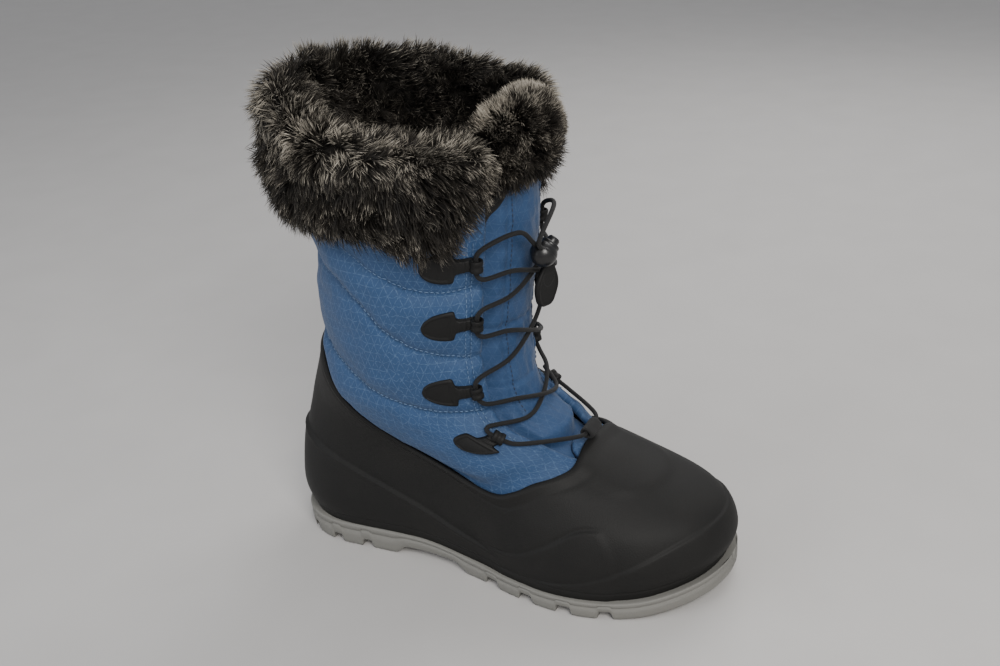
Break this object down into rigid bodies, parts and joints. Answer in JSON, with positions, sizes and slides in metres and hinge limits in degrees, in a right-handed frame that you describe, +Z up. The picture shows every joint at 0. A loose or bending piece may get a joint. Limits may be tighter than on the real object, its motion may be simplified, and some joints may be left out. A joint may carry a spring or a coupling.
{
  "type": "snow boot",
  "caption": "Lace-up winter boot with a quilted shaft, deep fur cuff, moulded rubber shell, lugged sole and an elastic lace held by a spring cord lock.",
  "frame": {"origin": "middle of the footprint, on the ground under the sole", "axes": "+X to the toe, +Y to the medial side, +Z up"},
  "size_m": [0.2844, 0.1492, 0.3],
  "materials": {
    "grey_rubber": "matte moulded sole rubber",
    "black_rubber": "matte, finely pebbled",
    "foam": "felted footbed",
    "quilted_nylon": "ripstop nylon, quilted in bands",
    "fur": "long two-tone pile",
    "webbing": "woven tape",
    "cord": "braided elastic",
    "gloss_plastic": "gloss moulding"
  },
  "bodies": {
    "boot": {"outsole": "grey_rubber", "insole": "foam", "shell": "black_rubber", "shaft": "quilted_nylon", "tongue": "quilted_nylon", "collar": "fur", "tongue_fur": "fur", "tab_lateral_1": "black_rubber", "tab_lateral_2": "black_rubber", "tab_lateral_3": "black_rubber", "tab_lateral_4": "black_rubber", "tab_medial_1": "black_rubber", "tab_medial_2": "black_rubber", "tab_medial_3": "black_rubber", "tab_medial_4": "black_rubber", "toe_loop": "webbing", "lace": "cord", "lock_body": "gloss_plastic", "cord_tab": "black_rubber", "lace_end_lateral": "cord", "lace_end_medial": "cord"},
    "button": {"lock_button": "gloss_plastic"}
  },
  "joints": [
    {"name": "lock_press", "type": "slide", "parent": "boot", "child": "button", "axis": [-0.3498, -0.7197, -0.5997], "range_m": [0, 0.003], "stiffness_N_per_m": 2000}
  ]
}
